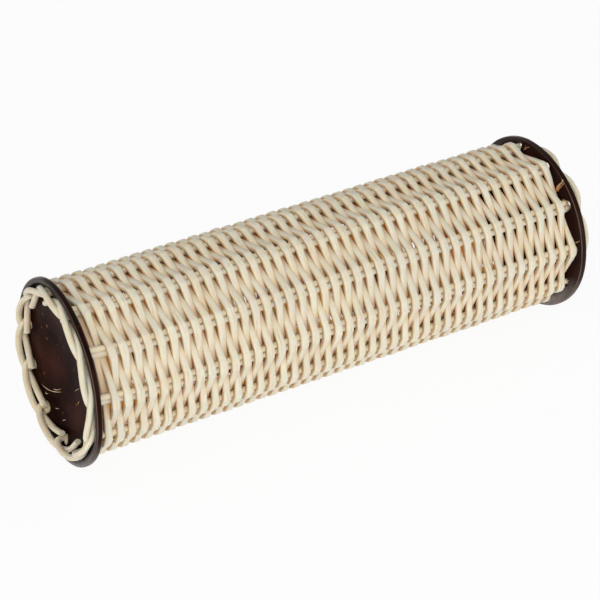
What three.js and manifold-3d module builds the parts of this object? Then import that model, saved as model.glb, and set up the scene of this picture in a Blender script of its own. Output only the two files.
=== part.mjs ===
// A ganza: a rattle whose wall is woven from cane over paired stakes. A dished disc of coconut shell closes
// each end, the stakes pass through the discs and are woven down into a border, and loose seeds lie inside.
// Millimetres, +Z up. The tube lies along X with its middle at the origin and its near end at -X.
import * as THREE from "three";
import { mergeVertices } from "three/addons/utils/BufferGeometryUtils.js";
import Module from "manifold-3d";

// Discs
const DISC_SPACING = 239.6; // between the middles of the two rims
const DISC_DIAMETER = 80;
const SHELL_WALL = 2.8;
const DISH_RADIUS = 100; // curve of the hollow, outer side
const RIM_THICKNESS = 3.4;
const RIM_ROUND = 0.8;
const RIM_FACETS = 30; // the flat lowest facets are what the rattle lies on
const HOLE_SIDES = 10;

// Stakes
const STAKE_COUNT = 11; // an odd count makes one running strand alternate by itself from row to row
const STAKE_DIAMETER = 2.4;
const STAKE_INSET = 7; // from a disc's edge to the middle of its stake holes
const FIRST_STAKE_DEGREES = 12; // from +Y towards +Z
const CLEARANCE = 0.3; // between any two pieces that lie against each other

// Weavers
const CANE_THICKNESS = 2; // across the wall
const CANE_WIDTH = 2.55; // along the tube
const ROW_GAP = 0.19;
const WEAVER_COUNT = 22; // lengths of cane, butted behind stakes
const CANE_SIDES = 5;

// Seeds
const SEED_DIAMETER = 6.8;
const SEED_LENGTH = 10;
const SEED_LANES = 7;
const SEEDS_PER_LANE = 2;
const SEED_GAP = 0.4; // between neighbouring lanes and stretches
const SEED_SEAT = 0.1; // above the strands that a seed slides along
const SEED_SCATTER = 30; // furthest that a seed lies from the middle of its stretch
const SEED_SCATTER_STEP = 2.4; // radians from one seed's place to the next one's

const CANE_COLOUR = 0xe2d4b4;
const STAKE_COLOUR = 0xdccba6;
const SHELL_COLOUR = 0x2b1a17;
const SEED_COLOUR = 0x6b4226;

const halfSpacing = DISC_SPACING / 2;
const stakeStep = (2 * Math.PI) / STAKE_COUNT;
const stakeRadius = STAKE_DIAMETER / 2;
const stakeCircleRadius = DISC_DIAMETER / 2 - STAKE_INSET;
const besideStep = STAKE_DIAMETER + CLEARANCE; // between the middles of two rods that lie side by side
const stakeAngle = (index) => THREE.MathUtils.degToRad(FIRST_STAKE_DEGREES) + index * stakeStep;

// Places round the tube's axis, at an angle from +Y towards +Z.
const radialAt = (angle) => new THREE.Vector3(0, Math.cos(angle), Math.sin(angle));
const cylindrical = (x, radius, angle) => radialAt(angle).multiplyScalar(radius).setX(x);

// Faces of a dished disc, measured outwards along the tube from the middle of its rim.
const dishEdgeRadius = DISC_DIAMETER / 2 - RIM_ROUND - SHELL_WALL / 2;
const dishCentre = RIM_THICKNESS / 2 + Math.sqrt(DISH_RADIUS ** 2 - dishEdgeRadius ** 2);
const dishFace = (radius) => dishCentre - Math.sqrt(DISH_RADIUS ** 2 - radius ** 2);
const dishBack = (radius) => dishCentre - Math.sqrt((DISH_RADIUS + SHELL_WALL) ** 2 - radius ** 2);

// A weaver passes inside a stake pair almost straight, and outside the next pair it bends to a corner. The
// corner stands as far out as its two straight arms need to clear the pair.
const insideRadius = stakeCircleRadius - stakeRadius - CLEARANCE - CANE_THICKNESS / 2;
function cornerRadius() {
  const nextAlong = insideRadius * Math.sin(stakeStep);
  const nextOut = insideRadius * Math.cos(stakeStep);
  const reach = stakeRadius + CLEARANCE + CANE_THICKNESS / 2;
  const beside = besideStep / 2;
  let corner = stakeCircleRadius + reach;
  for (let round = 0; round < 40; round++) {
    const slope = Math.atan2(corner - nextOut, nextAlong);
    corner = stakeCircleRadius + beside * Math.tan(slope) + reach / Math.cos(slope);
  }
  return corner;
}
const outsideRadius = cornerRadius();

const wasm = await Module();
wasm.setup();

function solidFrom(geometry) {
  const bare = geometry.clone();
  bare.deleteAttribute("normal");
  bare.deleteAttribute("uv");
  const merged = mergeVertices(bare, 1e-4);
  return new wasm.Manifold(
    new wasm.Mesh({
      numProp: 3,
      vertProperties: new Float32Array(merged.attributes.position.array),
      triVerts: new Uint32Array(merged.index.array),
    }),
  );
}

function geometryFrom(solid) {
  const mesh = solid.getMesh();
  return new THREE.BufferGeometry()
    .setAttribute("position", new THREE.BufferAttribute(mesh.vertProperties, 3))
    .setIndex(new THREE.BufferAttribute(mesh.triVerts, 1));
}

// One closed strand along a path. Each section is an oval, thick along its point's own radial direction, cut
// on the plane that halves the bend there.
function strand(points, radials, thickness, width) {
  const positions = [];
  const faces = [];
  const last = points.length - 1;
  points.forEach((point, index) => {
    const before = points[Math.max(index - 1, 0)];
    const after = points[Math.min(index + 1, last)];
    const arriving = point.clone().sub(before).normalize();
    const leaving = after.clone().sub(point).normalize();
    const along = arriving.clone().add(leaving).normalize();
    const turn = leaving.clone().sub(arriving);
    const bend = index > 0 && index < last ? Math.asin(Math.min(turn.length() / 2, 1)) : 0;
    turn.normalize();
    const out = radials[index].clone().addScaledVector(along, -radials[index].dot(along)).normalize();
    const across = new THREE.Vector3().crossVectors(along, out);
    for (let side = 0; side < CANE_SIDES; side++) {
      const angle = (2 * Math.PI * side) / CANE_SIDES;
      const offset = out.clone().multiplyScalar((Math.cos(angle) * thickness) / 2);
      offset.addScaledVector(across, (Math.sin(angle) * width) / 2);
      offset.addScaledVector(turn, offset.dot(turn) * (1 / Math.cos(bend) - 1));
      positions.push(...point.clone().add(offset).toArray());
    }
  });
  for (let index = 0; index < last; index++) {
    for (let side = 0; side < CANE_SIDES; side++) {
      const a = index * CANE_SIDES + side;
      const b = index * CANE_SIDES + ((side + 1) % CANE_SIDES);
      faces.push(a, b, a + CANE_SIDES, b, b + CANE_SIDES, a + CANE_SIDES);
    }
  }
  for (let side = 1; side < CANE_SIDES - 1; side++) {
    const end = last * CANE_SIDES;
    faces.push(0, side + 1, side);
    faces.push(end, end + side, end + side + 1);
  }
  return new THREE.BufferGeometry()
    .setAttribute("position", new THREE.Float32BufferAttribute(positions, 3))
    .setIndex(faces);
}

// Dished disc with a rounded rim, its hollow facing +X, and a round hole for each pair of stakes.
function discGeometry(side) {
  const radius = DISC_DIAMETER / 2;
  const half = RIM_THICKNESS / 2;
  const backEdge = radius - RIM_ROUND - SHELL_WALL;
  const shares = [0, 0.35, 0.7, 1];
  const back = shares.map((share) => new THREE.Vector2(backEdge * share, dishBack(backEdge * share)));
  const rim = [
    new THREE.Vector2(radius - RIM_ROUND, -half),
    new THREE.Vector2(radius, -half + RIM_ROUND),
    new THREE.Vector2(radius, half - RIM_ROUND),
    new THREE.Vector2(radius - RIM_ROUND, half),
  ];
  const face = shares.map((share) => new THREE.Vector2(dishEdgeRadius * share, dishFace(dishEdgeRadius * share)));
  const profile = [...back, ...rim, ...face.reverse()];
  const halfFacet = Math.PI / RIM_FACETS;
  let solid = solidFrom(new THREE.LatheGeometry(profile, RIM_FACETS, halfFacet).rotateZ(-Math.PI / 2));
  const holeRadius = (besideStep / 2 + stakeRadius + CLEARANCE) / Math.cos(Math.PI / HOLE_SIDES);
  const holeLength = 4 * (dishFace(stakeCircleRadius) - dishBack(0));
  for (let index = 0; index < STAKE_COUNT; index++) {
    const centre = cylindrical(0, stakeCircleRadius, stakeAngle(index));
    const hole = new THREE.CylinderGeometry(holeRadius, holeRadius, holeLength, HOLE_SIDES).rotateZ(Math.PI / 2);
    hole.translate(0, side * centre.y, centre.z);
    solid = solid.subtract(solidFrom(hole));
  }
  return geometryFrom(solid);
}

// The woven-down end of a stake, from its elbow to its cut tip. It bends over at the height of a second layer and
// crosses the end of the stake before it, passes outside the next stake down on the disc, and then goes under that
// stake's own end to the inside of the one after, where its tip lies.
function borderEnd(side, angle) {
  const step = side * stakeStep; // anticlockwise as seen from outside that end
  const lying = (share) => dishFace(stakeCircleRadius + share * besideStep) + stakeRadius + 1.5 * CLEARANCE;
  const crest = lying(0.33) + besideStep;
  const elbow = 0.5 * STAKE_DIAMETER;
  const elbowTurn = elbow / (stakeCircleRadius * stakeStep);
  const route = [
    [0, 0, crest - elbow],
    [elbowTurn, 0.05, crest],
    [0.34, 0.34, crest],
    [0.66, 0.66, crest],
    [1, 1, lying(1)],
    [1.34, 0.32, lying(0.32)],
    [1.68, -0.36, lying(-0.36)],
    [2, -1, lying(-1)],
    [2.2, -1, lying(-1)],
  ];
  return route.map(([turn, share, out]) => ({
    point: cylindrical(side * (halfSpacing + out), stakeCircleRadius + share * besideStep, angle + turn * step),
    radial: radialAt(angle + turn * step),
  }));
}

function stakeGeometry(index) {
  const beside = besideStep / 2 / stakeCircleRadius;
  const angle = stakeAngle(index) + beside;
  const near = borderEnd(-1, angle).reverse();
  const far = borderEnd(1, angle);
  const route = [...near, ...far];
  const points = route.map((place) => place.point);
  const radials = route.map((place) => place.radial);
  return strand(points, radials, STAKE_DIAMETER, STAKE_DIAMETER);
}

// The stake's partner rod runs straight from one disc to the other and ends flush in both holes.
function byeStakeGeometry(index) {
  const beside = besideStep / 2 / stakeCircleRadius;
  const angle = stakeAngle(index) - beside;
  const end = halfSpacing + dishFace(stakeCircleRadius);
  const points = [-end, end].map((x) => cylindrical(x, stakeCircleRadius, angle));
  return strand(points, [radialAt(angle), radialAt(angle)], STAKE_DIAMETER, STAKE_DIAMETER);
}

// The weave is one running strand in equal rows. Even crossings pass inside a stake pair, odd ones outside.
const weaveMargin = CLEARANCE + CANE_WIDTH / 2 - dishBack(insideRadius);
const weaveLength = DISC_SPACING - 2 * weaveMargin;
const weaveTurns = Math.floor(weaveLength / (CANE_WIDTH + ROW_GAP));
const crossingAdvance = weaveLength / (weaveTurns * STAKE_COUNT);

function crossingPlace(crossing) {
  const angle = stakeAngle(crossing);
  const radius = crossing % 2 === 0 ? insideRadius : outsideRadius;
  const x = crossing * crossingAdvance - weaveLength / 2;
  return { x, radius, angle };
}

function weaverGeometry(index) {
  const pairs = Math.floor((weaveTurns * STAKE_COUNT) / 2);
  const from = 2 * Math.round((index * pairs) / WEAVER_COUNT);
  const to = 2 * Math.round(((index + 1) * pairs) / WEAVER_COUNT);
  const buttGap = CLEARANCE / 2 / insideRadius;
  const points = [];
  const radials = [];
  for (let crossing = from; crossing <= to; crossing++) {
    const { x, radius, angle } = crossingPlace(crossing);
    const shift = crossing === from ? buttGap : crossing === to ? -buttGap : 0;
    points.push(cylindrical(x, radius, angle + shift));
    radials.push(radialAt(angle + shift));
  }
  return strand(points, radials, CANE_THICKNESS, CANE_WIDTH);
}

// Loose seeds lie along the bottom of the tube, each in its own lane and its own stretch of the length. The wall
// is flat inside each stake pair, so a lane between two pairs lies further out than one on a pair.
const seedSeatRadius = insideRadius - CANE_THICKNESS / 2 - SEED_SEAT - SEED_DIAMETER / 2;
const seedLaneStep = 2 * Math.asin((SEED_DIAMETER + SEED_GAP) / 2 / seedSeatRadius);
const chamberHalf = halfSpacing + dishBack(seedSeatRadius - SEED_DIAMETER / 2) - CLEARANCE;
const seedStretch = (2 * chamberHalf) / SEEDS_PER_LANE;
const laneAngle = (lane) => -Math.PI / 2 + (lane - (SEED_LANES - 1) / 2) * seedLaneStep;

function laneRadius(lane) {
  const stakesPassed = (laneAngle(lane) - stakeAngle(0)) / stakeStep;
  const fromNearestStake = (stakesPassed - Math.round(stakesPassed)) * stakeStep;
  return seedSeatRadius / Math.cos(fromNearestStake);
}

function seedPlace(lane, stretch) {
  const middle = (stretch + 0.5) * seedStretch - chamberHalf;
  const scatter = SEED_SCATTER * Math.sin(SEED_SCATTER_STEP * (lane * SEEDS_PER_LANE + stretch));
  return cylindrical(middle + scatter, laneRadius(lane), laneAngle(lane));
}

function seedGeometry() {
  const seed = new THREE.SphereGeometry(SEED_DIAMETER / 2, 6, 6).rotateZ(Math.PI / 2);
  return geometryFrom(solidFrom(seed.scale(SEED_LENGTH / SEED_DIAMETER, 1, 1)));
}

const ganza = new THREE.Group();
const numbered = (name, index) => `${name}_${String(index + 1).padStart(2, "0")}`;

function addPiece(name, geometry, color, roughness) {
  const piece = new THREE.Mesh(geometry, new THREE.MeshStandardMaterial({ color, roughness, metalness: 0 }));
  piece.name = name;
  ganza.add(piece);
  return piece;
}

for (const side of [-1, 1]) {
  const disc = addPiece(side < 0 ? "near_disc" : "far_disc", discGeometry(side), SHELL_COLOUR, 0.35);
  disc.position.x = side * halfSpacing;
  disc.rotation.z = side < 0 ? Math.PI : 0;
}
for (let index = 0; index < STAKE_COUNT; index++) {
  addPiece(numbered("stake", index), stakeGeometry(index), STAKE_COLOUR, 0.6);
  addPiece(numbered("bye_stake", index), byeStakeGeometry(index), STAKE_COLOUR, 0.6);
}
for (let index = 0; index < WEAVER_COUNT; index++) {
  addPiece(numbered("weaver", index), weaverGeometry(index), CANE_COLOUR, 0.6);
}
for (let lane = 0; lane < SEED_LANES; lane++) {
  for (let stretch = 0; stretch < SEEDS_PER_LANE; stretch++) {
    const seed = addPiece(numbered("seed", lane * SEEDS_PER_LANE + stretch), seedGeometry(), SEED_COLOUR, 0.5);
    seed.position.copy(seedPlace(lane, stretch));
    seed.rotation.x = laneAngle(lane);
  }
}

export default ganza;
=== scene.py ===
"""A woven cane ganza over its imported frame: weave, bordered stakes, shell discs, seeds and a studio."""
import math

import bmesh
import bpy
from bpy.props import FloatProperty, FloatVectorProperty, PointerProperty
from mathutils import Matrix, Vector, noise


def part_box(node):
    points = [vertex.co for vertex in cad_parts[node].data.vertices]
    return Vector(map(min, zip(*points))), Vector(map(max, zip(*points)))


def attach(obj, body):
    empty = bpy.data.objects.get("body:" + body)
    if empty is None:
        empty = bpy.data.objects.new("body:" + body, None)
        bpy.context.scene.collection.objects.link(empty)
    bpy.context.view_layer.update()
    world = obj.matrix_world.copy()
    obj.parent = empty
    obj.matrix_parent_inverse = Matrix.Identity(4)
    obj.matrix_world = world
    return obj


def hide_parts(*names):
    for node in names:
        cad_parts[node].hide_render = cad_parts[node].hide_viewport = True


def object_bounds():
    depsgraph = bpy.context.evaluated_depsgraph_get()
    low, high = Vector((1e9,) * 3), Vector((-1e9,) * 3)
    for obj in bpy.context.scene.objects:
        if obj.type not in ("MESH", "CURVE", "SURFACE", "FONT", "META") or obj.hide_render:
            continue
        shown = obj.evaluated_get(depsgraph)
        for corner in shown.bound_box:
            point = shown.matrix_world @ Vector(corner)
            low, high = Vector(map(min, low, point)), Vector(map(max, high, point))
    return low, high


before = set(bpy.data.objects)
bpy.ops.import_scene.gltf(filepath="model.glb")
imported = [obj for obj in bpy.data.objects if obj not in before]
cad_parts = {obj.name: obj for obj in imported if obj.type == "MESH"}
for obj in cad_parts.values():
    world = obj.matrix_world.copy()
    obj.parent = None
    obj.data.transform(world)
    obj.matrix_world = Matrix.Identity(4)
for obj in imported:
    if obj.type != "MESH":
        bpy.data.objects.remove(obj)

bl_info = {
    "name": "Woven cane ganza",
    "version": (1, 0, 0),
    "blender": (4, 5, 0),
    "location": "View3D > Sidebar > Ganza",
    "description": "Builds a woven cane ganza with coconut-shell ends over its frame",
    "category": "Add Mesh",
}


def nodes_named(start):
    """The frame's nodes whose names begin alike, in order."""
    return sorted(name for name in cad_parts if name.startswith(start))


CAD_LOW, CAD_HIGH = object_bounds()
DISC_LOW, DISC_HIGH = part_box("near_disc")
STAKE_NODES = nodes_named("stake_")
BYE_NODES = nodes_named("bye_stake_")
WEAVER_NODES = nodes_named("weaver_")
SEED_NODES = nodes_named("seed_")
BASKET = "basket"
NEAR, FAR = -1, 1
PER_METRE = 1000

# From the near disc's outermost point to the middle of its rim, and from the tube's middle to either rim
RIM_DEPTH = 0.0017
HALF_SPACING = -DISC_LOW.x - RIM_DEPTH

# Stake pairs round the wall, and where the weaver crosses them: it starts tucked in before the first row
STAKE_STEP = 2 * math.pi / len(STAKE_NODES)
FIRST_STAKE = math.radians(12)
CROSSINGS = 912
FIRST_CROSSING = -6
TUCKED = 2

# Where two lengths of weaver are cut, as shares of the run behind a stake pair
END_CUT, START_CUT = 0.46, 0.54

# Towards the far end the weaver's bends get closer and its cane slimmer: shares of the weave and the size
CLOSER_FROM, CLOSER = 0.7, 0.4
SLIMMER_FROM, SLIMMEST_FROM, SLIMMER = 0.62, 0.88, 0.085

# Unevenness of the handwork, in metres, radians, stake steps or shares of a size
ROW_RADIUS_DRIFT, ROW_ALONG_DRIFT, ROW_ANGLE_DRIFT = 0.0003, 0.00035, 0.012
CANE_SWELL, ARM_THICKER = 0.08, 1.04
BORDER_TURN_DRIFT, BORDER_DRIFT = 0.04, 0.0004
CUT_DRIFT, STAKE_BOW = 0.0006, 0.00015
RIM_UNEVEN, RIM_WAVE = 0.008, 0.0005

# Sections: sides and squareness of the cane, sides of rods and fibres, length of cane in one UV unit
CANE_SIDES, CANE_ROUNDNESS = 12, 0.38
ROD_SIDES, FIBRE_SIDES = 10, 6
STAKE_STEPS, BYE_STEPS, FIBRE_STEPS = 14, 12, 8
UV_LENGTH = 0.01

# A stake gets its border size over this run, and flattens by this share
BORDER_TAPER, BORDER_FLATTER = 0.004, 0.12

# Where round the far disc its border stands off most
FAR_LIFT_ANGLE = 1.85

# Discs: radii over which the warp sets in and the shell thickens
WARP_ZONE = (0.026, 0.034)
THICK_ZONE = (0.0285, 0.0335)

# Steps of a disc's section and turn, squareness of its rim, and the drill for its holes
RIM_STEPS, RIM_ROUNDNESS = 16, 0.55
DISC_TURNS, DISH_STEPS, LIP_STEPS = 120, 12, 6
DRILL_SIDES, DRILL_DEPTH = 20, 0.03

# How much wider each rim is cut, as a share, and how far it sits below the axis
RIM_GROWTH = {NEAR: 0.014, FAR: -0.006}
RIM_DROP = {NEAR: 0.0004, FAR: 0.0009}

# Seeds: width and depth of the groove, and unevenness
GROOVE_WIDTH, GROOVE_DEPTH, SEED_UNEVEN = 0.28, 0.12, 0.05

# Distances from the axis over which a finish changes: deep cane, which gets painted warm shade, then the
# shell's ring, lip and rim, where the rim gets a painted floor reflection and a painted highlight
DEEP_WALL_SHADE = (0.033, 0.0357)
SHADED_RING = (0.024, 0.034)
GLOSSY_LIP = (0.0365, 0.0385)
WORN_HIGHLIGHT_RIM = (0.0385, 0.0391)
FLOOR_SHEEN_RIM = (0.0385, 0.0402)
RIM_EDGE = (0.0398, 0.0404)

# Stage: camera, floor, and the lamps' names, places, watts, sizes and tints
CAMERA_SIDE = (-0.4463, -0.723, 0.527)
CAMERA_RIGHT = (0.851, -0.525, 0.0)
CAMERA_PLACE = (-0.5228, -0.8428, 0.6111)
LENS, SENSOR = 161.5, 36
FLOOR_HALF, FLOOR_DROP = 6, 0.0009
WORLD_STRENGTH = 0.51
LAMPS = (
    ("key_lamp", (-1.6, -0.4, 0.9), 8.4, 1.2, (1.0, 0.99, 0.97)),
    ("fill_lamp", (0.4, -1.6, 0.1), 9.6, 1.4, (0.98, 0.99, 1.0)),
    ("front_lamp", (-0.7, -1.25, 1.05), 8.4, 0.8, (1.0, 0.995, 0.985)),
)

# Loose husk fibres: start angle in degrees, start radius in mm, end angle, end radius, thickness in mm
NEAR_FIBRES = (
    (319.0, 31.0, 298.1, 19.2, 0.35),
    (309.0, 23.6, 301.4, 18.6, 0.30),
    (265.9, 11.6, 239.4, 9.3, 0.22),
    (253.0, 16.0, 247.0, 14.6, 0.45),
    (294.0, 28.2, 290.0, 26.5, 0.35),
    (280.0, 28.9, 276.0, 27.0, 0.35),
    (311.8, 29.8, 309.0, 28.6, 0.30),
)
FAR_FIBRES = (
    (131.0, 34.6, 128.0, 37.4, 1.00),
    (129.5, 35.0, 127.0, 37.8, 0.90),
    (131.5, 35.6, 129.0, 38.0, 0.70),
    (128.5, 37.0, 126.0, 39.6, 0.40),
    (127.5, 37.6, 127.0, 40.0, 0.35),
    (129.5, 37.4, 128.5, 39.8, 0.30),
    (86.0, 35.5, 89.5, 37.4, 0.40),
    (88.5, 36.4, 85.5, 37.3, 0.30),
    (171.0, 35.8, 168.4, 38.4, 0.24),
    (205.5, 33.8, 202.0, 36.0, 0.45),
    (206.5, 35.2, 203.0, 36.6, 0.35),
    (138.0, 36.3, 145.5, 37.3, 0.40),
    (140.0, 37.2, 147.0, 36.1, 0.35),
    (137.5, 35.6, 141.0, 37.8, 0.30),
)


def length(name, description, default):
    """A size in metres that a user can change."""
    return FloatProperty(name=name, description=description, default=default, unit="LENGTH", precision=5)


def colour(name, description, default):
    """A linear colour that a user can change."""
    return FloatVectorProperty(
        name=name, description=description, default=default, size=3, subtype="COLOR", min=0, max=1
    )


class GanzaSizes(bpy.types.PropertyGroup):
    """Sizes of the ganza's pieces."""

    disc_radius: length("Disc radius", "Outer radius of a shell disc", (DISC_HIGH.y - DISC_LOW.y) / 2)
    rim_thickness: length("Rim thickness", "Thickness of a disc's rounded rim", 0.0029)
    lip_width: length("Lip width", "From a disc's edge to the foot of its raised lip", 0.0042)
    shell_wall: length("Shell wall", "Thickness of the coconut shell at its holes", 0.0027)
    shell_middle: length("Shell middle", "Thickness of the coconut shell inside the ring of holes", 0.0011)
    dish_radius: length("Dish radius", "Curve of a disc's hollow outer side", 0.1)
    near_face: length("Near face", "Height of the near face at its holes above the rim's middle", -0.0008)
    far_face: length("Far face", "Height of the far face at its holes above the rim's middle", -0.0014)
    hole_radius: length("Hole radius", "Radius of a hole for a pair of stakes", 0.0031)
    stake_circle: length("Stake circle", "Radius on which the stakes stand in the wall", 0.0350)
    border_circle: length("Border circle", "Radius of the ring of holes and of the border", 0.0342)
    stake_diameter: length("Stake diameter", "Diameter of a stake rod", 0.00275)
    pair_step: length("Pair step", "Between the two rods of a pair", 0.00272)
    border_diameter: length("Border diameter", "Thickness of a stake where it is woven down", 0.00255)
    cane_width: length("Cane width", "Width of a weaver between stakes", 0.00276)
    cane_spread: length("Cane spread", "Width of a weaver where it lies over a stake pair", 0.0037)
    cane_thickness: length("Cane thickness", "Thickness of a weaver across the wall", 0.0020)
    outside_radius: length("Outside radius", "Where a weaver passes outside a stake pair", 0.03695)
    inside_radius: length("Inside radius", "Where a weaver passes inside a stake pair", 0.0326)
    over_reach: length("Over reach", "Half the run over which a weaver lies on a stake pair", 0.0022)
    near_margin: length("Near margin", "From the near rim's middle to the start of the weave", 0.00605)
    far_margin: length("Far margin", "From the end of the weave to the far rim's middle", 0.0023)
    near_inset: length("Near inset", "How far the near disc is set towards the weave", 0.0006)
    near_lean: length("Near lean", "How far the near disc's top leans towards the weave", 0.0006)
    near_swing: length("Near swing", "How far the near rim's rear is set towards the weave", 0.0025)
    near_twist: length("Near twist", "How far the near holes are turned from the wall's stakes", -0.0024)
    far_swing: length("Far swing", "How far the far rim's rear is set away from the weave", -0.0009)
    far_lift: length("Far lift", "How far the far border stands off on one side", 0.0015)


class GanzaColours(bpy.types.PropertyGroup):
    """Colours of the ganza's finishes."""

    cane_pale: colour("Pale cane", "Most of the cane", (0.78, 0.745, 0.605))
    cane_warm: colour("Warm cane", "Yellower stretches of cane", (0.71, 0.60, 0.41))
    cane_grey: colour("Grey cane", "Weathered stretches of cane", (0.69, 0.668, 0.565))
    cane_brown: colour("Brown cane", "Skin left on the cane in places", (0.45, 0.27, 0.10))
    # Painted shade: the brown flanks stand in for the shade along each strand's edges, where it meets its
    # neighbours
    cane_flank_shade: colour("Flank of the cane", "Skin along the edges of the cane", (0.59, 0.37, 0.16))
    cane_streak: colour("Streak in the cane", "Fine brown fibres along the cane", (0.50, 0.37, 0.21))
    # Painted shade: an orange tint where the cane lies deep in the wall, standing in for the warm shade
    # between the strands
    cane_deep_shade: colour("Deep cane", "Cane that lies deep in the wall", (0.84, 0.55, 0.30))
    # Partly the unbleached inner side of the cane and partly painted glow: the warm orange stands in for
    # light shining through the cane and bouncing between strands in the gaps
    cane_inner_glow: colour("Inner cane", "Unbleached side of the cane that faces inwards", (0.90, 0.54, 0.325))
    shell_dark: colour("Dark shell", "Polished coconut shell", (0.0095, 0.0029, 0.0021))
    shell_brown: colour("Brown shell", "Browner cloudy areas of the shell", (0.042, 0.0128, 0.0082))
    # Painted reflection: a lighter grey-brown low on the rims stands in for the white floor mirrored in
    # the polished shell
    shell_floor_sheen: colour("Dull shell", "Rubbed and dusty sweep low on the rims", (0.23, 0.195, 0.175))
    # Partly rubbed corners and partly a painted highlight along the rims' crests
    shell_worn_highlight: colour("Worn shell", "Rubbed corners of the rims", (0.13, 0.085, 0.065))
    shell_fibre: colour("Shell fibre", "Fibre left in the shell's pores", (0.36, 0.15, 0.05))
    fibre_pale: colour("Pale fibre", "Bleached ends of loose husk fibre", (0.72, 0.55, 0.36))
    seed_skin: colour("Seed skin", "Skin of the seeds", (0.23, 0.10, 0.045))
    seed_mark: colour("Seed mark", "Darker marks on the seeds", (0.05, 0.02, 0.012))


def polar(x, radius, angle):
    """Place at an angle from +Y towards +Z round the tube's axis."""
    return Vector((x, radius * math.cos(angle), radius * math.sin(angle)))


def eased(value, low, high):
    """Smooth step from 0 at the low value to 1 at the high one."""
    share = max(0, min(1, (value - low) / (high - low)))
    return share * share * (3 - 2 * share)


def drift(place, track):
    """Smooth unevenness from -1 to 1 that is the same on every run."""
    return noise.noise(Vector((place * 0.731 + 0.37, track * 5.17 + 0.29, track * 2.3 + 0.71)))


def add_node(owner, kind, values=None):
    """A new shader node in a material or a world, with the given input values."""
    made = owner.node_tree.nodes.new(kind)
    for key, value in (values or {}).items():
        made.inputs[key].default_value = value
    return made


def wire(owner, source, target):
    """Links an output socket to an input socket."""
    owner.node_tree.links.new(source, target)


def new_material(name):
    """An empty node material with a surface shader, and that shader."""
    material = bpy.data.materials.new(name)
    material.use_nodes = True
    shader = material.node_tree.nodes["Principled BSDF"]
    return material, shader


def mixed(owner, factor, first, second):
    """Colour socket between two colours, each a socket or a plain colour."""
    mix = add_node(owner, "ShaderNodeMix")
    mix.data_type = "RGBA"
    wire(owner, factor, mix.inputs[0])
    for socket, value in ((mix.inputs[6], first), (mix.inputs[7], second)):
        if isinstance(value, bpy.types.NodeSocket):
            wire(owner, value, socket)
        else:
            socket.default_value = (*value, 1)
    return mix.outputs[2]


def mixed_shader(owner, factor, first, second):
    """Shader socket between the shaders of two nodes."""
    mix = add_node(owner, "ShaderNodeMixShader")
    for source, target in zip((factor, first.outputs[0], second.outputs[0]), mix.inputs):
        wire(owner, source, target)
    return mix.outputs[0]


def ranged(owner, source, low, high, to_low, to_high):
    """Value socket that maps one range to another, clamped."""
    values = {"From Min": low, "From Max": high, "To Min": to_low, "To Max": to_high}
    made = add_node(owner, "ShaderNodeMapRange", values)
    wire(owner, source, made.inputs["Value"])
    return made.outputs["Result"]


def stretched_noise(owner, coordinate, stretch, scale, detail, roughness=0.5):
    """Noise socket on coordinates stretched along their axes."""
    mapping = add_node(owner, "ShaderNodeMapping", {"Scale": stretch})
    wire(owner, coordinate, mapping.inputs["Vector"])
    values = {"Scale": scale, "Detail": detail, "Roughness": roughness}
    made = add_node(owner, "ShaderNodeTexNoise", values)
    wire(owner, mapping.outputs["Vector"], made.inputs["Vector"])
    return made.outputs["Fac"]


def computed(owner, operation, *sources):
    """Socket with the result of a math operation on other sockets."""
    made = add_node(owner, "ShaderNodeMath")
    made.operation = operation
    for source, target in zip(sources, made.inputs):
        wire(owner, source, target)
    return made.outputs[0]


def summed(owner, first, second):
    """Socket with the sum of two values."""
    return computed(owner, "ADD", first, second)


def multiplied(owner, first, second):
    """Socket with the product of two values."""
    return computed(owner, "MULTIPLY", first, second)


def size_of(owner, source):
    """Socket with a value's size without its sign."""
    return computed(owner, "ABSOLUTE", source)


def seen_directly(owner, rays):
    """Socket that is 1 for camera and transmission rays."""
    return computed(owner, "MAXIMUM", rays.outputs["Is Camera Ray"], rays.outputs["Is Transmission Ray"])


def parts_of(owner, vector):
    """The X, Y and Z sockets of a vector socket, by name."""
    made = add_node(owner, "ShaderNodeSeparateXYZ")
    wire(owner, vector, made.inputs[0])
    return made.outputs


def from_axis(owner, place):
    """Socket with the distance from the tube's axis."""
    flat = add_node(owner, "ShaderNodeVectorMath")
    flat.operation = "MULTIPLY"
    flat.inputs[1].default_value = (0, 1, 1)
    wire(owner, place, flat.inputs[0])
    far = add_node(owner, "ShaderNodeVectorMath")
    far.operation = "LENGTH"
    wire(owner, flat.outputs["Vector"], far.inputs[0])
    return far.outputs["Value"]


def round_section(material, uv):
    """Socket that runs from 0 on a strand's outer side over 0.5 on its flanks to 1 on its inner side."""
    centred = ranged(material, parts_of(material, uv)["Y"], 0, 1, -1, 1)
    return ranged(material, size_of(material, centred), 0, 1, 1, 0)


def between_discs(material, place):
    """Socket that is 1 in the wall and 0 in the borders outside the discs."""
    along = size_of(material, parts_of(material, place)["X"])
    return ranged(material, along, HALF_SPACING - 0.006, HALF_SPACING - 0.002, 1, 0)


def bumped(material, shader, height, strength, distance):
    """Gives a surface shader fine relief from a height socket."""
    bump = add_node(material, "ShaderNodeBump", {"Strength": strength, "Distance": distance})
    wire(material, height, bump.inputs["Height"])
    wire(material, bump.outputs["Normal"], shader.inputs["Normal"])


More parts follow.
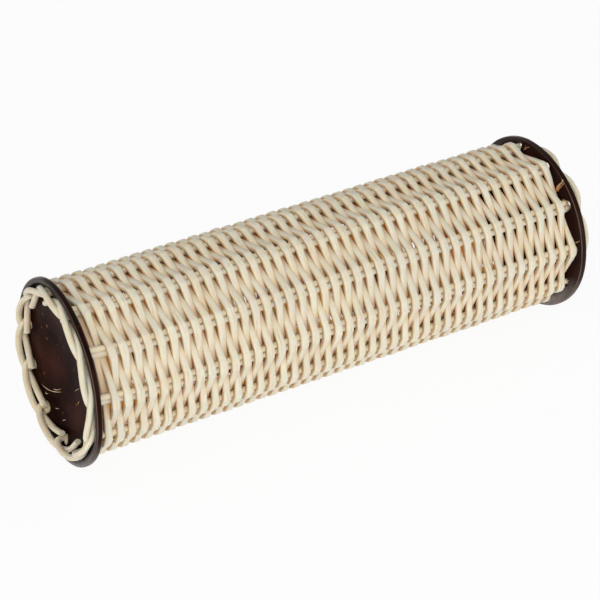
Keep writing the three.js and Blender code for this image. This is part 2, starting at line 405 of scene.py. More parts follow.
def cane_finish(name, colours, warmth):
    """Peeled cane: pale and semi-matte, with fibres along it, warmer stretches and brown skin marks, plus
    painted warm shade deep in the wall, painted shade on the flanks, and an inner side that is unbleached
    and carries a painted glow.
    """
    material, shader = new_material(name)
    coord = add_node(material, "ShaderNodeTexCoord")
    uv = coord.outputs["UV"]
    place = coord.outputs["Object"]
    fibres = stretched_noise(material, uv, (0.3, 7, 1), 2.2, 5, 0.7)
    streaks = stretched_noise(material, uv, (0.5, 3.4, 1), 2.6, 4, 0.6)
    tone = stretched_noise(material, uv, (0.16, 0.3, 1), 1.7, 3)
    marks = stretched_noise(material, uv, (0.7, 3, 1), 3.1, 3)
    patch = stretched_noise(material, place, (1, 1, 1), 70, 3)
    age = stretched_noise(material, place, (1, 1, 1), 31, 3)
    warm_share = ranged(material, summed(material, tone, patch), 0.85, 1.3, 0, warmth)
    base = mixed(material, warm_share, colours.cane_pale, colours.cane_warm)
    base = mixed(material, ranged(material, age, 0.46, 0.64, 0, 0.7), base, colours.cane_grey)
    base = mixed(material, ranged(material, fibres, 0.47, 0.6, 0, 0.75), base, colours.cane_warm)
    base = mixed(material, ranged(material, streaks, 0.5, 0.6, 0, 0.7), base, colours.cane_grey)
    base = mixed(material, ranged(material, fibres, 0.58, 0.66, 0, 0.65), base, colours.cane_streak)
    base = mixed(material, ranged(material, marks, 0.68, 0.8, 0, 0.4), base, colours.cane_brown)
    # Painted shade: cane deep in the wall is tinted warm orange, standing in for warm shade and light
    # bounced between the strands
    deep_shade_share = ranged(material, from_axis(material, place), *DEEP_WALL_SHADE, 0.6, 0)
    section = round_section(material, uv)
    # Inward-facing side: unbleached cane with a painted warm glow
    inner_glow_share = ranged(material, section, 0.5, 0.7, 0, 1)
    # Painted shade along the strands' edges, patchy with the streaks
    flank_shade_share = ranged(material, section, 0.26, 0.46, 0, 0.8)
    flank_shade_share = multiplied(material, flank_shade_share, ranged(material, streaks, 0.38, 0.56, 0.35, 1))
    if name == "stake_cane":
        wall = between_discs(material, place)
        inner_glow_share = multiplied(material, inner_glow_share, wall)
        deep_shade_share = multiplied(material, deep_shade_share, wall)
        flank_shade_share = multiplied(material, flank_shade_share, ranged(material, wall, 0, 1, 0.35, 0.5))
    base = mixed(material, deep_shade_share, base, colours.cane_deep_shade)
    base = mixed(material, flank_shade_share, base, colours.cane_flank_shade)
    base = mixed(material, inner_glow_share, base, colours.cane_inner_glow)
    wire(material, base, shader.inputs["Base Color"])
    wire(material, ranged(material, fibres, 0.3, 0.75, 0.42, 0.64), shader.inputs["Roughness"])
    bumped(material, shader, summed(material, fibres, streaks), 0.5, 0.0004)
    shader.inputs["Specular IOR Level"].default_value = 0.3
    wire(material, ranged(material, inner_glow_share, 0, 1, 0.45, 1.0), shader.inputs["Subsurface Weight"])
    wire(material, ranged(material, inner_glow_share, 0, 1, 0.0016, 0.012), shader.inputs["Subsurface Scale"])
    shader.inputs["Subsurface Radius"].default_value = (1.0, 0.5, 0.22)
    return material


def floor_sheen_share(material, place, radius, pores):
    """Socket with the share of the painted floor reflection low on the rims; the far rim is cut smaller.
    """
    parts = parts_of(material, place)
    far_side = ranged(material, parts["X"], -0.01, 0.01, 0, 0.0038)
    low = ranged(material, parts["Z"], -0.012, -0.033, 0, 0.9)
    rim = ranged(material, summed(material, radius, far_side), *FLOOR_SHEEN_RIM, 0, 1)
    grain = ranged(material, pores, 0.4, 0.6, 1, 0.7)
    return multiplied(material, multiplied(material, low, rim), grain)


def worn_highlight_share(material, normal, radius, clouds):
    """Socket with the share of wear and painted highlight on the rims' corners, which face between
    outwards and sideways.
    """
    outward = size_of(material, parts_of(material, normal)["X"])
    rising = ranged(material, outward, 0.25, 0.55, 0, 1)
    falling = ranged(material, outward, 0.75, 0.95, 1, 0)
    corner = multiplied(material, rising, falling)
    corner = multiplied(material, corner, ranged(material, radius, *WORN_HIGHLIGHT_RIM, 0, 1))
    return multiplied(material, corner, ranged(material, clouds, 0.38, 0.58, 0.35, 0.9))


def shell_finish(colours):
    """Polished coconut shell: almost black, with browner clouds, fibre marks and scratches, rubbed rim
    corners with a painted highlight, and a painted floor reflection low on the rims.
    """
    material, shader = new_material("coconut_shell")
    coord = add_node(material, "ShaderNodeTexCoord")
    place = coord.outputs["Object"]
    radius = from_axis(material, place)
    clouds = stretched_noise(material, place, (1, 1, 1), 38, 4)
    along = stretched_noise(material, place, (60, 420, 40), 1.6, 4, 0.6)
    across = stretched_noise(material, place, (60, 45, 460), 1.4, 4, 0.6)
    pores = stretched_noise(material, place, (1, 2.2, 1), 330, 3)
    cloud_share = ranged(material, clouds, 0.42, 0.66, 0, 0.9)
    base = mixed(material, cloud_share, colours.shell_dark, colours.shell_brown)
    base = mixed(material, ranged(material, along, 0.62, 0.74, 0, 0.35), base, colours.shell_brown)
    base = mixed(material, ranged(material, across, 0.64, 0.76, 0, 0.3), base, colours.shell_brown)
    base = mixed(material, ranged(material, pores, 0.69, 0.76, 0, 0.75), base, colours.shell_fibre)
    base = mixed(material, ranged(material, radius, *SHADED_RING, 0, 0.7), base, colours.shell_dark)
    # Painted reflection of the floor, low on the rims
    floor_sheen = floor_sheen_share(material, place, radius, pores)
    base = mixed(material, floor_sheen, base, colours.shell_floor_sheen)
    # Lighter rim corners: wear together with a painted highlight along the crest
    worn_highlight = worn_highlight_share(material, coord.outputs["Normal"], radius, clouds)
    base = mixed(material, worn_highlight, base, colours.shell_worn_highlight)
    wire(material, base, shader.inputs["Base Color"])
    wire(material, ranged(material, along, 0.3, 0.7, 0.14, 0.28), shader.inputs["Roughness"])
    scratches = ranged(material, across, 0.4, 0.8, 0, 0.12)
    bumped(material, shader, summed(material, clouds, scratches), 0.4, 0.0008)
    lip = ranged(material, radius, *GLOSSY_LIP, 0.012, 0.13)
    gloss = multiplied(material, lip, ranged(material, radius, *RIM_EDGE, 1, 0.25))
    wire(material, gloss, shader.inputs["Specular IOR Level"])
    shader.inputs["Specular Tint"].default_value = (1.0, 0.82, 0.74, 1)
    return material


def fibre_finish(colours):
    """Loose husk fibre: matt, orange-brown with bleached stretches."""
    material, shader = new_material("husk_fibre")
    place = add_node(material, "ShaderNodeTexCoord").outputs["Object"]
    tone = stretched_noise(material, place, (1, 1, 1), 160, 3)
    pale_share = ranged(material, tone, 0.4, 0.62, 0, 1)
    base = mixed(material, pale_share, colours.shell_fibre, colours.fibre_pale)
    wire(material, base, shader.inputs["Base Color"])
    wire(material, ranged(material, tone, 0.3, 0.7, 0.6, 0.85), shader.inputs["Roughness"])
    bumped(material, shader, tone, 0.3, 0.0001)
    return material


def seed_finish(colours):
    """Dry seed skin: brown and satin, with darker marks and a fine grain."""
    material, shader = new_material("seed_skin")
    place = add_node(material, "ShaderNodeTexCoord").outputs["Object"]
    mottle = stretched_noise(material, place, (1, 1, 1), 420, 4)
    grain = stretched_noise(material, place, (0.3, 1, 1), 1500, 3)
    mark_share = ranged(material, mottle, 0.48, 0.68, 0, 0.8)
    base = mixed(material, mark_share, colours.seed_skin, colours.seed_mark)
    wire(material, base, shader.inputs["Base Color"])
    wire(material, ranged(material, grain, 0.3, 0.7, 0.38, 0.6), shader.inputs["Roughness"])
    bumped(material, shader, grain, 0.3, 0.0002)
    return material


def floor_finish():
    """Pale studio floor that shows white to the camera and keeps a soft shadow."""
    material, shader = new_material("studio_floor")
    place = add_node(material, "ShaderNodeTexCoord").outputs["Object"]
    grain = stretched_noise(material, place, (1, 1, 1), 40, 3)
    pale_share = ranged(material, grain, 0.3, 0.7, 0, 1)
    base = mixed(material, pale_share, (0.90, 0.90, 0.90), (0.92, 0.92, 0.92))
    wire(material, base, shader.inputs["Base Color"])
    shader.inputs["Roughness"].default_value = 0.9
    shader.inputs["Specular IOR Level"].default_value = 0.0
    rays = add_node(material, "ShaderNodeLightPath")
    white = add_node(material, "ShaderNodeEmission", {"Color": (1, 1, 1, 1), "Strength": 1.0})
    share = ranged(material, seen_directly(material, rays), 0, 1, 0.85, 0.92)
    output = material.node_tree.nodes["Material Output"]
    wire(material, mixed_shader(material, share, shader, white), output.inputs["Surface"])
    return material


def place_piece(name, mesh, material, body, slot, *nodes):
    """Links a finished mesh as a piece that rides on a body and stands for CAD nodes."""
    mesh.materials.append(material)
    piece = bpy.data.objects.new(name, mesh)
    bpy.context.scene.collection.objects.link(piece)
    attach(piece, body)
    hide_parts(*nodes)
    return piece


def squared(part, roundness):
    """Part of a unit section, pushed out towards a square as the roundness falls from 1."""
    return math.copysign(abs(part) ** roundness, part)


class Strand:
    """A closed cane strand that grows section by section along a route."""

    def __init__(self, sides, roundness=1.0):
        self.sides = sides
        self.roundness = roundness
        self.centres = []
        self.outs = []
        self.sizes = []

    def add(self, centre, out, thickness, width):
        """One more section: its middle, its outward direction and its two diameters."""
        self.centres.append(centre)
        self.outs.append(out)
        self.sizes.append((thickness / 2, width / 2))

    def mesh(self, name):
        """Smooth mesh with square-cut ends and UVs that run along the strand."""
        last = len(self.centres) - 1
        vertices = []
        along = [0.0]
        for index, centre in enumerate(self.centres):
            before = self.centres[max(index - 1, 0)]
            after = self.centres[min(index + 1, last)]
            forward = (after - before).normalized()
            out = (self.outs[index] - forward * self.outs[index].dot(forward)).normalized()
            across = forward.cross(out)
            thick, wide = self.sizes[index]
            for side in range(self.sides):
                angle = 2 * math.pi * side / self.sides
                outward = squared(math.cos(angle), self.roundness)
                sideways = squared(math.sin(angle), self.roundness)
                vertices.append(centre + out * outward * thick + across * sideways * wide)
            if index:
                along.append(along[-1] + (centre - self.centres[index - 1]).length / UV_LENGTH)
        return self.skinned(name, vertices, along)

    def skinned(self, name, vertices, along):
        """Joins the sections with faces and lays out the UVs."""
        count = self.sides
        last = len(self.centres) - 1
        faces = []
        corners = []
        for index in range(last):
            for side in range(count):
                follow = (side + 1) % count
                low, high = index * count, (index + 1) * count
                faces.append((low + side, low + follow, high + follow, high + side))
                for row, step in ((index, 0), (index, 1), (index + 1, 1), (index + 1, 0)):
                    corners.append((along[row], (side + step) / count))
        faces.append(tuple(reversed(range(count))))
        faces.append(tuple(last * count + side for side in range(count)))
        for row in (0, last):
            corners.extend((along[row], side / count) for side in range(count))
        mesh = bpy.data.meshes.new(name)
        mesh.from_pydata(vertices, [], faces)
        layer = mesh.uv_layers.new(name="along_strand")
        for loop, corner in zip(layer.data, corners):
            loop.uv = corner
        mesh.shade_smooth()
        mark_ends_sharp(mesh)
        return mesh


def mark_ends_sharp(mesh):
    """Keeps the two cut ends of a strand crisp."""
    ends = {tuple(sorted(key)) for face in mesh.polygons[-2:] for key in face.edge_keys}
    for edge in mesh.edges:
        if tuple(sorted(edge.vertices)) in ends:
            edge.use_edge_sharp = True


def rim_face(sizes, side):
    """Height of a disc's face at its stake holes above the middle of its rim."""
    return sizes.near_face if side == NEAR else sizes.far_face


def on_disc(sizes, side, height, radius, angle):
    """Place at a height above the middle of a disc's rim, which is warped a little out of its plane."""
    place = polar(side * (HALF_SPACING + height), radius, angle)
    if side == NEAR:
        place.x += sizes.near_inset
        warp = sizes.near_lean * place.z + sizes.near_swing * place.y
    else:
        warp = sizes.far_swing * place.y
    place.x += warp / sizes.disc_radius * eased(radius, *WARP_ZONE)
    return place


def spline(controls):
    """Points on a smooth curve that starts and ends on its first and last control points."""
    made = [controls[0]]
    for before, here, after in zip(controls, controls[1:], controls[2:]):
        made.append((before + here) * 0.5)
        made.append(before * 0.125 + here * 0.75 + after * 0.125)
    made.append((controls[-2] + controls[-1]) * 0.5)
    made.append(controls[-1])
    return made


def crossing(sizes, index):
    """Two bends of the strand at a stake pair: outside at odd crossings, inside along the tucked start."""
    outside = index % 2 == 1 and index > FIRST_CROSSING
    radius = sizes.outside_radius if outside else sizes.inside_radius
    radius += drift(index, 1) * ROW_RADIUS_DRIFT
    closer = 1 - CLOSER * eased(index, CLOSER_FROM * CROSSINGS, CROSSINGS)
    reach = sizes.over_reach * (1 if outside else 0.6) * closer
    run = 2 * HALF_SPACING - sizes.near_margin - sizes.far_margin
    x = sizes.near_margin - HALF_SPACING + run * max(index, FIRST_CROSSING) / CROSSINGS
    x += drift(index, 2) * ROW_ALONG_DRIFT
    angle = FIRST_STAKE + index * STAKE_STEP + drift(index, 3) * ROW_ANGLE_DRIFT
    along = Vector((0, -math.sin(angle), math.cos(angle)))
    middle = polar(x, radius, angle)
    return middle - along * reach, middle + along * reach


def weaver_strand(sizes, first, last):
    """One length of weaver: straight arms between stakes, two bends and a wider bed at each crossing."""
    controls = []
    for index in range(first, last + 1):
        start, end = crossing(sizes, index)
        swell = 1 + drift(index, 4) * CANE_SWELL
        slim = 1 - SLIMMER * eased(index, SLIMMER_FROM * CROSSINGS, SLIMMEST_FROM * CROSSINGS)
        between = (sizes.cane_width + sizes.cane_spread) / 2
        width = sizes.cane_spread if index % 2 else between
        bed = (sizes.cane_thickness * (2 - swell), width * swell * (1 + slim) / 2)
        arm = (sizes.cane_thickness * ARM_THICKER, sizes.cane_width * slim)
        if index == first:
            start = start.lerp(end, START_CUT)
        else:
            leaving = controls[-1].xyz
            shoulder = (arm[0], between * slim)
            for share, shape in ((0.05, shoulder), (0.5, arm), (0.95, shoulder)):
                controls.append(Vector((*leaving.lerp(start, share), *shape)))
        if index == last:
            end = start.lerp(end, END_CUT)
        for share in (0, 0.25, 0.75, 1):
            controls.append(Vector((*start.lerp(end, share), *bed)))
    strand = Strand(CANE_SIDES, CANE_ROUNDNESS)
    for place in spline(controls):
        strand.add(Vector(place[:3]), Vector((0, place[1], place[2])), place[3], place[4])
    return strand


class GANZA_OT_weave(bpy.types.Operator):
    """Weaves the wall from lengths of cane that meet behind stakes"""

    bl_idname = "ganza.weave"
    bl_label = "Weave"

    def execute(self, context):
        sizes = context.scene.ganza_sizes
        colours = context.scene.ganza_colours
        cane = cane_finish("weaver_cane", colours, 0.75)
        lengths = len(WEAVER_NODES)
        for index, node in enumerate(WEAVER_NODES):
            ends = [share * (CROSSINGS - FIRST_CROSSING) / lengths for share in (index, index + 1)]
            first, last = (FIRST_CROSSING + 2 * round(end / 2) for end in ends)
            first -= TUCKED if index == 0 else 0
            mesh = weaver_strand(sizes, first, last).mesh("woven_cane_" + node[-2:])
            place_piece(mesh.name, mesh, cane, BASKET, "weaver_cane", node)
        return {"FINISHED"}


def border_route(sizes, side, angle):
    """Turns in stake steps, radii and heights of a stake's woven-down end, from hole to cut tip."""
    rod = sizes.border_diameter
    ring = sizes.border_circle
    low = rim_face(sizes, side) + rod * 0.55
    high = low + rod * 1.15
    if side == FAR:
        high += sizes.far_lift * max(0, math.cos(angle - FAR_LIFT_ANGLE))
    outer = ring + rod * 0.82
    inner = ring - rod * 1.25
    return [
        (0.0, ring, low - rod * 2.5),
        (0.0, ring, low - rod * 0.5),
        (0.0, ring, low + rod * 0.35),
        (0.05, ring + rod * 0.02, low + rod * 0.66),
        (0.16, ring + rod * 0.12, low + rod * 0.92),
        (0.34, ring + rod * 0.3, high),
        (0.6, ring + rod * 0.55, high),
        (0.82, ring + rod * 0.78, high - rod * 0.18),
        (1.03, outer, low + rod * 0.75),
        (1.2, ring + rod * 0.75, low + rod * 0.3),
        (1.38, ring + rod * 0.5, low),
        (1.65, ring - rod * 0.2, low - rod * 0.04),
        (1.95, inner, low),
        (2.12, inner - rod * 0.4, low + rod * 0.04),
    ]


def border_points(sizes, side, angle, number):
    """Places along a stake's woven-down end at one side, from the hole outwards."""
    places = []
    if side == NEAR:
        angle += sizes.near_twist / sizes.border_circle
    for order, (turn, radius, height) in enumerate(border_route(sizes, side, angle)):
        loose = min(order / 6, 1)
        turn += drift(number + order * 0.4, 6 + side) * BORDER_TURN_DRIFT * loose
        radius += drift(number * 1.7 + order * 0.3, 9 + side) * BORDER_DRIFT * loose
        height += drift(number * 2.3 + order * 0.3, 12 + side) * BORDER_DRIFT * loose
        places.append(on_disc(sizes, side, height, radius, angle + side * STAKE_STEP * turn))
    return spline(places)


class GANZA_OT_stakes(bpy.types.Operator):
    """Makes the stakes, which run through both discs and are woven down into the two borders"""

    bl_idname = "ganza.stakes"
    bl_label = "Stakes and borders"

    def execute(self, context):
        sizes = context.scene.ganza_sizes
        colours = context.scene.ganza_colours
        cane = cane_finish("stake_cane", colours, 0.9)
        for number, node in enumerate(STAKE_NODES):
            angle = FIRST_STAKE + number * STAKE_STEP + sizes.pair_step / 2 / sizes.stake_circle
            near = border_points(sizes, NEAR, angle, number)
            far = border_points(sizes, FAR, angle, number)
            run = far[0].x - near[0].x
            places = [near[0].x + run * step / STAKE_STEPS for step in range(1, STAKE_STEPS)]
            straight = [polar(x, sizes.stake_circle, angle) for x in places]
            strand = Strand(ROD_SIDES)
            for point in [*reversed(near), *straight, *far]:
                beyond = max(0, min(1, (abs(point.x) - HALF_SPACING + BORDER_TAPER) / BORDER_TAPER))
                diameter = sizes.stake_diameter + (sizes.border_diameter - sizes.stake_diameter) * beyond
                width = diameter * (1 + BORDER_FLATTER * beyond)
                strand.add(point, Vector((0, point.y, point.z)), diameter, width)
            mesh = strand.mesh("border_stake_" + node[-2:])
            place_piece(mesh.name, mesh, cane, BASKET, "stake_cane", node)
        return {"FINISHED"}


class GANZA_OT_bye_stakes(bpy.types.Operator):
    """Makes the straight partner rods, which end in the holes of both discs"""

    bl_idname = "ganza.bye_stakes"
    bl_label = "Bye-stakes"

    def execute(self, context):
        sizes = context.scene.ganza_sizes
        cane = bpy.data.materials["stake_cane"]
        for number, node in enumerate(BYE_NODES):
            angle = FIRST_STAKE + number * STAKE_STEP - sizes.pair_step / 2 / sizes.stake_circle
            near_cut = HALF_SPACING + sizes.near_face + drift(number, 20) * CUT_DRIFT
            far_cut = HALF_SPACING + sizes.far_face + drift(number, 21) * CUT_DRIFT
            strand = Strand(ROD_SIDES)
            for step in range(BYE_STEPS + 1):
                x = -near_cut + (near_cut + far_cut) * step / BYE_STEPS
                bow = drift(step * 0.8, 30 + number) * STAKE_BOW
                twist = sizes.near_twist / sizes.stake_circle if step == 0 else 0
                point = polar(x, sizes.stake_circle + bow, angle + twist)
                out = Vector((0, point.y, point.z))
                strand.add(point, out, sizes.stake_diameter, sizes.stake_diameter)
            mesh = strand.mesh("straight_stake_" + node[-2:])
            place_piece(mesh.name, mesh, cane, BASKET, "stake_cane", node)
        return {"FINISHED"}


def lip_share(sizes, r):
    """How far a radius has climbed up a disc's lip, from 0 at its foot to 1 at the rim."""
    return eased(r, sizes.disc_radius - sizes.lip_width, sizes.disc_radius - sizes.rim_thickness / 2)


def dish_height(sizes, side, r):
    """Height of a disc's hollow curve above the middle of its rim, without the lip."""
    return rim_face(sizes, side) + (r**2 - sizes.border_circle**2) / 2 / sizes.dish_radius


def face_height(sizes, side, r):
    """Height of a disc's hollow side above the middle of its rim."""
    dish = dish_height(sizes, side, r)
    return dish + (sizes.rim_thickness / 2 - dish) * lip_share(sizes, r)


def back_height(sizes, side, r):
    """Height of a disc's back, which faces the weave."""
    wall = sizes.shell_middle + (sizes.shell_wall - sizes.shell_middle) * eased(r, *THICK_ZONE)
    dish = dish_height(sizes, side, r) - wall
    return dish + (-sizes.rim_thickness / 2 - dish) * lip_share(sizes, r)


def disc_profile(sizes, side):
    """Radius and height pairs round a disc's section, from the middle of its back to that of its face."""
    half = sizes.rim_thickness / 2
    edge = sizes.disc_radius - half
    foot = sizes.disc_radius - sizes.lip_width
    radii = [foot * step / DISH_STEPS for step in range(1, DISH_STEPS + 1)]
    radii += [foot + (edge - foot) * step / LIP_STEPS for step in range(1, LIP_STEPS)]
    rim = []
    for step in range(RIM_STEPS + 1):
        turn = math.pi * (step / RIM_STEPS - 0.5)
        outward = squared(math.cos(turn), RIM_ROUNDNESS)
        upward = squared(math.sin(turn), RIM_ROUNDNESS)
        rim.append((edge + half * outward, half * upward))
    back = [(r, back_height(sizes, side, r)) for r in radii]
    face = [(r, face_height(sizes, side, r)) for r in reversed(radii)]
    return [*back, *rim, *face]


def disc_mesh(sizes, side, name):
    """Dished disc cut by hand: a slightly uneven outline and a rounded rim, hollow side outwards."""
    profile = disc_profile(sizes, side)
    middles = (back_height(sizes, side, 0), face_height(sizes, side, 0))
    vertices = [on_disc(sizes, side, height, 0, 0) for height in middles]
    for turn in range(DISC_TURNS):
        angle = 2 * math.pi * turn / DISC_TURNS
        place = Vector((math.cos(angle) * 1.1, math.sin(angle) * 1.1, 4.0 + side))
        uneven = noise.noise(place)
        wave = noise.noise(place * 1.45 + Vector((0, 0, 5))) * RIM_WAVE
        for r, height in profile:
            share = (r / sizes.disc_radius) ** 6
            grown = r * (1 + share * (uneven * RIM_UNEVEN + RIM_GROWTH[side]))
            spot = on_disc(sizes, side, height + wave * share, grown, angle)
            spot.z -= share * RIM_DROP[side]
            vertices.append(spot)
    count = len(profile)
    faces = []
    for turn in range(DISC_TURNS):
        this, after = 2 + turn * count, 2 + (turn + 1) % DISC_TURNS * count
        faces.append((0, after, this))
        for step in range(count - 1):
            faces.append((this + step, after + step, after + step + 1, this + step + 1))
        faces.append((1, this + count - 1, after + count - 1))
    if side == NEAR:
        faces = [tuple(reversed(face)) for face in faces]
    mesh = bpy.data.meshes.new(name)
    mesh.from_pydata(vertices, [], faces)
    return mesh


def drill_mesh(sizes, side):
    """All the stake holes of one disc as one set of round cutters."""
    drill = bmesh.new()
    for number in range(len(STAKE_NODES)):
        angle = FIRST_STAKE + number * STAKE_STEP
        if side == NEAR:
            angle += sizes.near_twist / sizes.border_circle
        spot = Matrix.Translation(polar(side * HALF_SPACING, sizes.border_circle, angle))
        bmesh.ops.create_cone(
            drill,
            cap_ends=True,
            segments=DRILL_SIDES,
            radius1=sizes.hole_radius,
            radius2=sizes.hole_radius,
            depth=DRILL_DEPTH,
            matrix=spot @ Matrix.Rotation(math.pi / 2, 4, "Y"),
        )
    mesh = bpy.data.meshes.new("stake_drill")
    drill.to_mesh(mesh)
    drill.free()
    return mesh


def drilled(mesh, cutter):
    """The mesh with the cutter taken out of it."""
    blank = bpy.data.objects.new("disc_blank", mesh)
    drill = bpy.data.objects.new("stake_drill", cutter)
    for item in (blank, drill):
        bpy.context.scene.collection.objects.link(item)
    cut = blank.modifiers.new("holes", "BOOLEAN")
    cut.operation = "DIFFERENCE"
    cut.solver = "EXACT"
    cut.object = drill
    made = bpy.data.meshes.new_from_object(blank.evaluated_get(bpy.context.evaluated_depsgraph_get()))
    for item in (blank, drill):
        bpy.data.objects.remove(item)
    return made


def fibre_mesh(sizes, side, fibre, number):
    """One loose husk fibre on the near disc's face or the far disc's back, bent and thin at its ends."""
    start_angle, start_radius, end_angle, end_radius, thickness = fibre
    surface = face_height if side == NEAR else back_height
    strand = Strand(FIBRE_SIDES)
    for step in range(FIBRE_STEPS + 1):
        share = step / FIBRE_STEPS
        belly = math.sin(math.pi * share)
        radius = (start_radius + (end_radius - start_radius) * share) / PER_METRE
        radius += belly * 0.0005 * math.sin(number * 2.4)
        angle = math.radians(start_angle + (end_angle - start_angle) * share)
        width = thickness / PER_METRE * (0.35 + 0.65 * belly)
        off = width * 0.35 + belly * 0.0002
        height = surface(sizes, side, radius) + (off if side == NEAR else -off)
        place = on_disc(sizes, side, height, radius, angle)
        strand.add(place, Vector((-1, 0, 0)), width, width)
    return strand.mesh("husk_fibre")


def with_fibres(mesh, fibres):
    """The mesh with loose fibres joined on, which take its second material."""
    joined = bmesh.new()
    joined.from_mesh(mesh)
    for fibre in fibres:
        count = len(joined.faces)
        joined.from_mesh(fibre)
        joined.faces.ensure_lookup_table()
        for face in joined.faces[count:]:
            face.material_index = 1
            face.smooth = True
    joined.to_mesh(mesh)
    joined.free()


class GANZA_OT_discs(bpy.types.Operator):
    """Turns and drills the two dished discs of coconut shell"""

    bl_idname = "ganza.discs"
    bl_label = "Shell discs"

    def execute(self, context):
        sizes = context.scene.ganza_sizes
        shell = shell_finish(context.scene.ganza_colours)
        husk = fibre_finish(context.scene.ganza_colours)
        for side, node, fibres in ((NEAR, "near_disc", NEAR_FIBRES), (FAR, "far_disc", FAR_FIBRES)):
            name = "shell_" + node
            mesh = drilled(disc_mesh(sizes, side, name), drill_mesh(sizes, side))
            mesh.name = name
            mesh.shade_smooth()
            mesh.set_sharp_from_angle(angle=math.radians(40))
            husks = [fibre_mesh(sizes, side, fibre, index) for index, fibre in enumerate(fibres)]
            with_fibres(mesh, husks)
            place_piece(name, mesh, shell, BASKET, "coconut_shell", node)
            mesh.materials.append(husk)
        return {"FINISHED"}


def seed_mesh(name, low, high, number):
    """Bean-shaped seed that fills its node's box, with a groove along one side."""
    centre = (low + high) / 2
    half = (high - low) / 2
    shape = bmesh.new()
    bmesh.ops.create_uvsphere(shape, u_segments=24, v_segments=14, radius=1)
    tilt = Matrix.Rotation(number * 2.1, 4, "X") @ Matrix.Rotation(math.pi / 2, 4, "Y")
    for vertex in shape.verts:
        place = tilt @ vertex.co
        around = math.atan2(place.z, place.y) - number
        groove = math.exp(-((math.remainder(around, 2 * math.pi) / GROOVE_WIDTH) ** 2)) * GROOVE_DEPTH
        uneven = SEED_UNEVEN * noise.noise(place * 1.3 + Vector((number, 0, 0)))
        waist = 1 - groove * (1 - place.x**2) - uneven
        across = Vector((place.x * half.x, place.y * half.y * waist, place.z * half.z * waist))
        vertex.co = centre + across
    mesh = bpy.data.meshes.new(name)
    shape.to_mesh(mesh)
    shape.free()
    mesh.shade_smooth()
    return mesh


class GANZA_OT_seeds(bpy.types.Operator):
    """Puts the loose rattle seeds inside, each on its own body"""

    bl_idname = "ganza.seeds"
    bl_label = "Rattle seeds"

    def execute(self, context):
        skin = seed_finish(context.scene.ganza_colours)
        for number, node in enumerate(SEED_NODES):
            low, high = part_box(node)
            mesh = seed_mesh("rattle_" + node, low, high, number)
            place_piece(mesh.name, mesh, skin, node, "seed_skin", node)
        return {"FINISHED"}


def add_lamp(name, place, energy, size, tint):
    """A soft square lamp that faces the middle of the tube."""
    data = bpy.data.lights.new(name, "AREA")
    data.energy = energy
    data.size = size
    data.color = tint
    lamp = bpy.data.objects.new(name, data)
    lamp.location = place
    lamp.rotation_mode = "QUATERNION"
    lamp.rotation_quaternion = (-Vector(place)).to_track_quat("-Z", "Y")
    bpy.context.scene.collection.objects.link(lamp)


def add_floor():
    """Wide pale floor under the rims."""
    mesh = bpy.data.meshes.new("studio_floor")
    low = CAD_LOW.z - FLOOR_DROP
    corners = [(x * FLOOR_HALF, y * FLOOR_HALF, low) for x, y in ((-1, -1), (1, -1), (1, 1), (-1, 1))]
    mesh.from_pydata(corners, [], [(0, 1, 2, 3)])
    mesh.materials.append(floor_finish())
    floor = bpy.data.objects.new("studio_floor", mesh)
    bpy.context.scene.collection.objects.link(floor)


def add_world():
    """White surroundings that light the object, show white behind it and reflect as a dim room."""
    world = bpy.data.worlds.new("studio_world")
    world.use_nodes = True
    world.node_tree.nodes.clear()
    light = add_node(world, "ShaderNodeBackground", {"Strength": WORLD_STRENGTH})
    white = add_node(world, "ShaderNodeBackground", {"Color": (1, 1, 1, 1), "Strength": 1.0})
    rays = add_node(world, "ShaderNodeLightPath")
    room = add_node(world, "ShaderNodeVectorMath", {1: CAMERA_SIDE})
    room.operation = "DOT_PRODUCT"
    wire(world, add_node(world, "ShaderNodeTexCoord").outputs["Generated"], room.inputs[0])
    dark = ranged(world, room.outputs["Value"], 0.2, 0.6, 0, 0.85)
    shade = multiplied(world, dark, rays.outputs["Is Glossy Ray"])
    wire(world, mixed(world, shade, (1, 1, 1), (0, 0, 0)), light.inputs["Color"])
    output = add_node(world, "ShaderNodeOutputWorld")
    wire(world, mixed_shader(world, seen_directly(world, rays), light, white), output.inputs["Surface"])
    bpy.context.scene.world = world


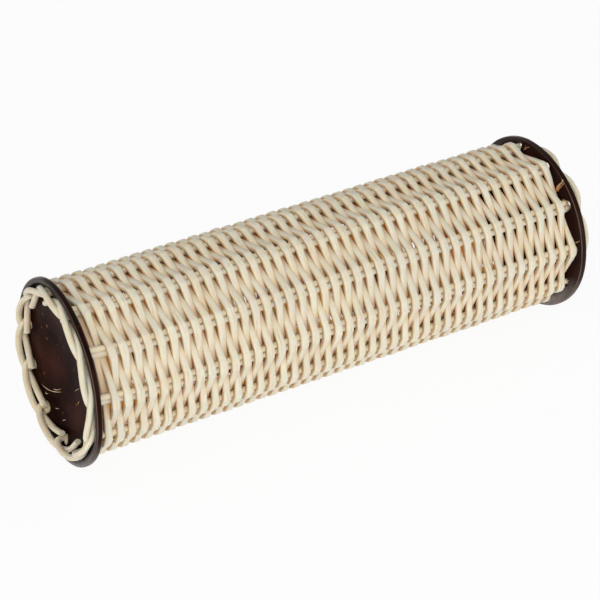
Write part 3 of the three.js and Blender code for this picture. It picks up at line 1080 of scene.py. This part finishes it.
def add_camera():
    """Camera at the photograph's place, with its long lens."""
    data = bpy.data.cameras.new("photo_camera")
    data.sensor_width = SENSOR
    data.lens = LENS
    data.clip_start = 0.01
    data.clip_end = 50
    camera = bpy.data.objects.new("photo_camera", data)
    back = Vector(CAMERA_SIDE).normalized()
    right = Vector(CAMERA_RIGHT)
    right = (right - back * right.dot(back)).normalized()
    up = back.cross(right)
    turn = Matrix((right, up, back)).transposed().to_4x4()
    camera.matrix_world = Matrix.Translation(CAMERA_PLACE) @ turn
    bpy.context.scene.collection.objects.link(camera)
    bpy.context.scene.camera = camera


class GANZA_OT_stage(bpy.types.Operator):
    """Sets up the floor, the soft light and the camera"""

    bl_idname = "ganza.stage"
    bl_label = "Stage"

    def execute(self, context):
        add_floor()
        add_world()
        for lamp in LAMPS:
            add_lamp(*lamp)
        add_camera()
        context.scene.view_settings.view_transform = "Standard"
        return {"FINISHED"}


class GANZA_PT_pieces(bpy.types.Panel):
    """Buttons for the pieces, with their sizes and colours"""

    bl_idname = "GANZA_PT_pieces"
    bl_label = "Ganza"
    bl_space_type = "VIEW_3D"
    bl_region_type = "UI"
    bl_category = "Ganza"

    def draw(self, context):
        for operator in OPERATORS:
            self.layout.operator(operator.bl_idname)
        for group in (context.scene.ganza_sizes, context.scene.ganza_colours):
            for key in group.__annotations__:
                self.layout.prop(group, key)


OPERATORS = (
    GANZA_OT_weave,
    GANZA_OT_stakes,
    GANZA_OT_bye_stakes,
    GANZA_OT_discs,
    GANZA_OT_seeds,
    GANZA_OT_stage,
)
CLASSES = (GanzaSizes, GanzaColours, *OPERATORS, GANZA_PT_pieces)


def register():
    """Registers the classes and gives the scene its sizes and colours."""
    for item in CLASSES:
        bpy.utils.register_class(item)
    bpy.types.Scene.ganza_sizes = PointerProperty(type=GanzaSizes)
    bpy.types.Scene.ganza_colours = PointerProperty(type=GanzaColours)


def unregister():
    """Takes the sizes, the colours and the classes away again."""
    del bpy.types.Scene.ganza_colours
    del bpy.types.Scene.ganza_sizes
    for item in reversed(CLASSES):
        bpy.utils.unregister_class(item)


def main():
    register()
    bpy.ops.ganza.weave()
    bpy.ops.ganza.stakes()
    bpy.ops.ganza.bye_stakes()
    bpy.ops.ganza.discs()
    bpy.ops.ganza.seeds()
    bpy.ops.ganza.stage()


if __name__ == "__main__":
    main()
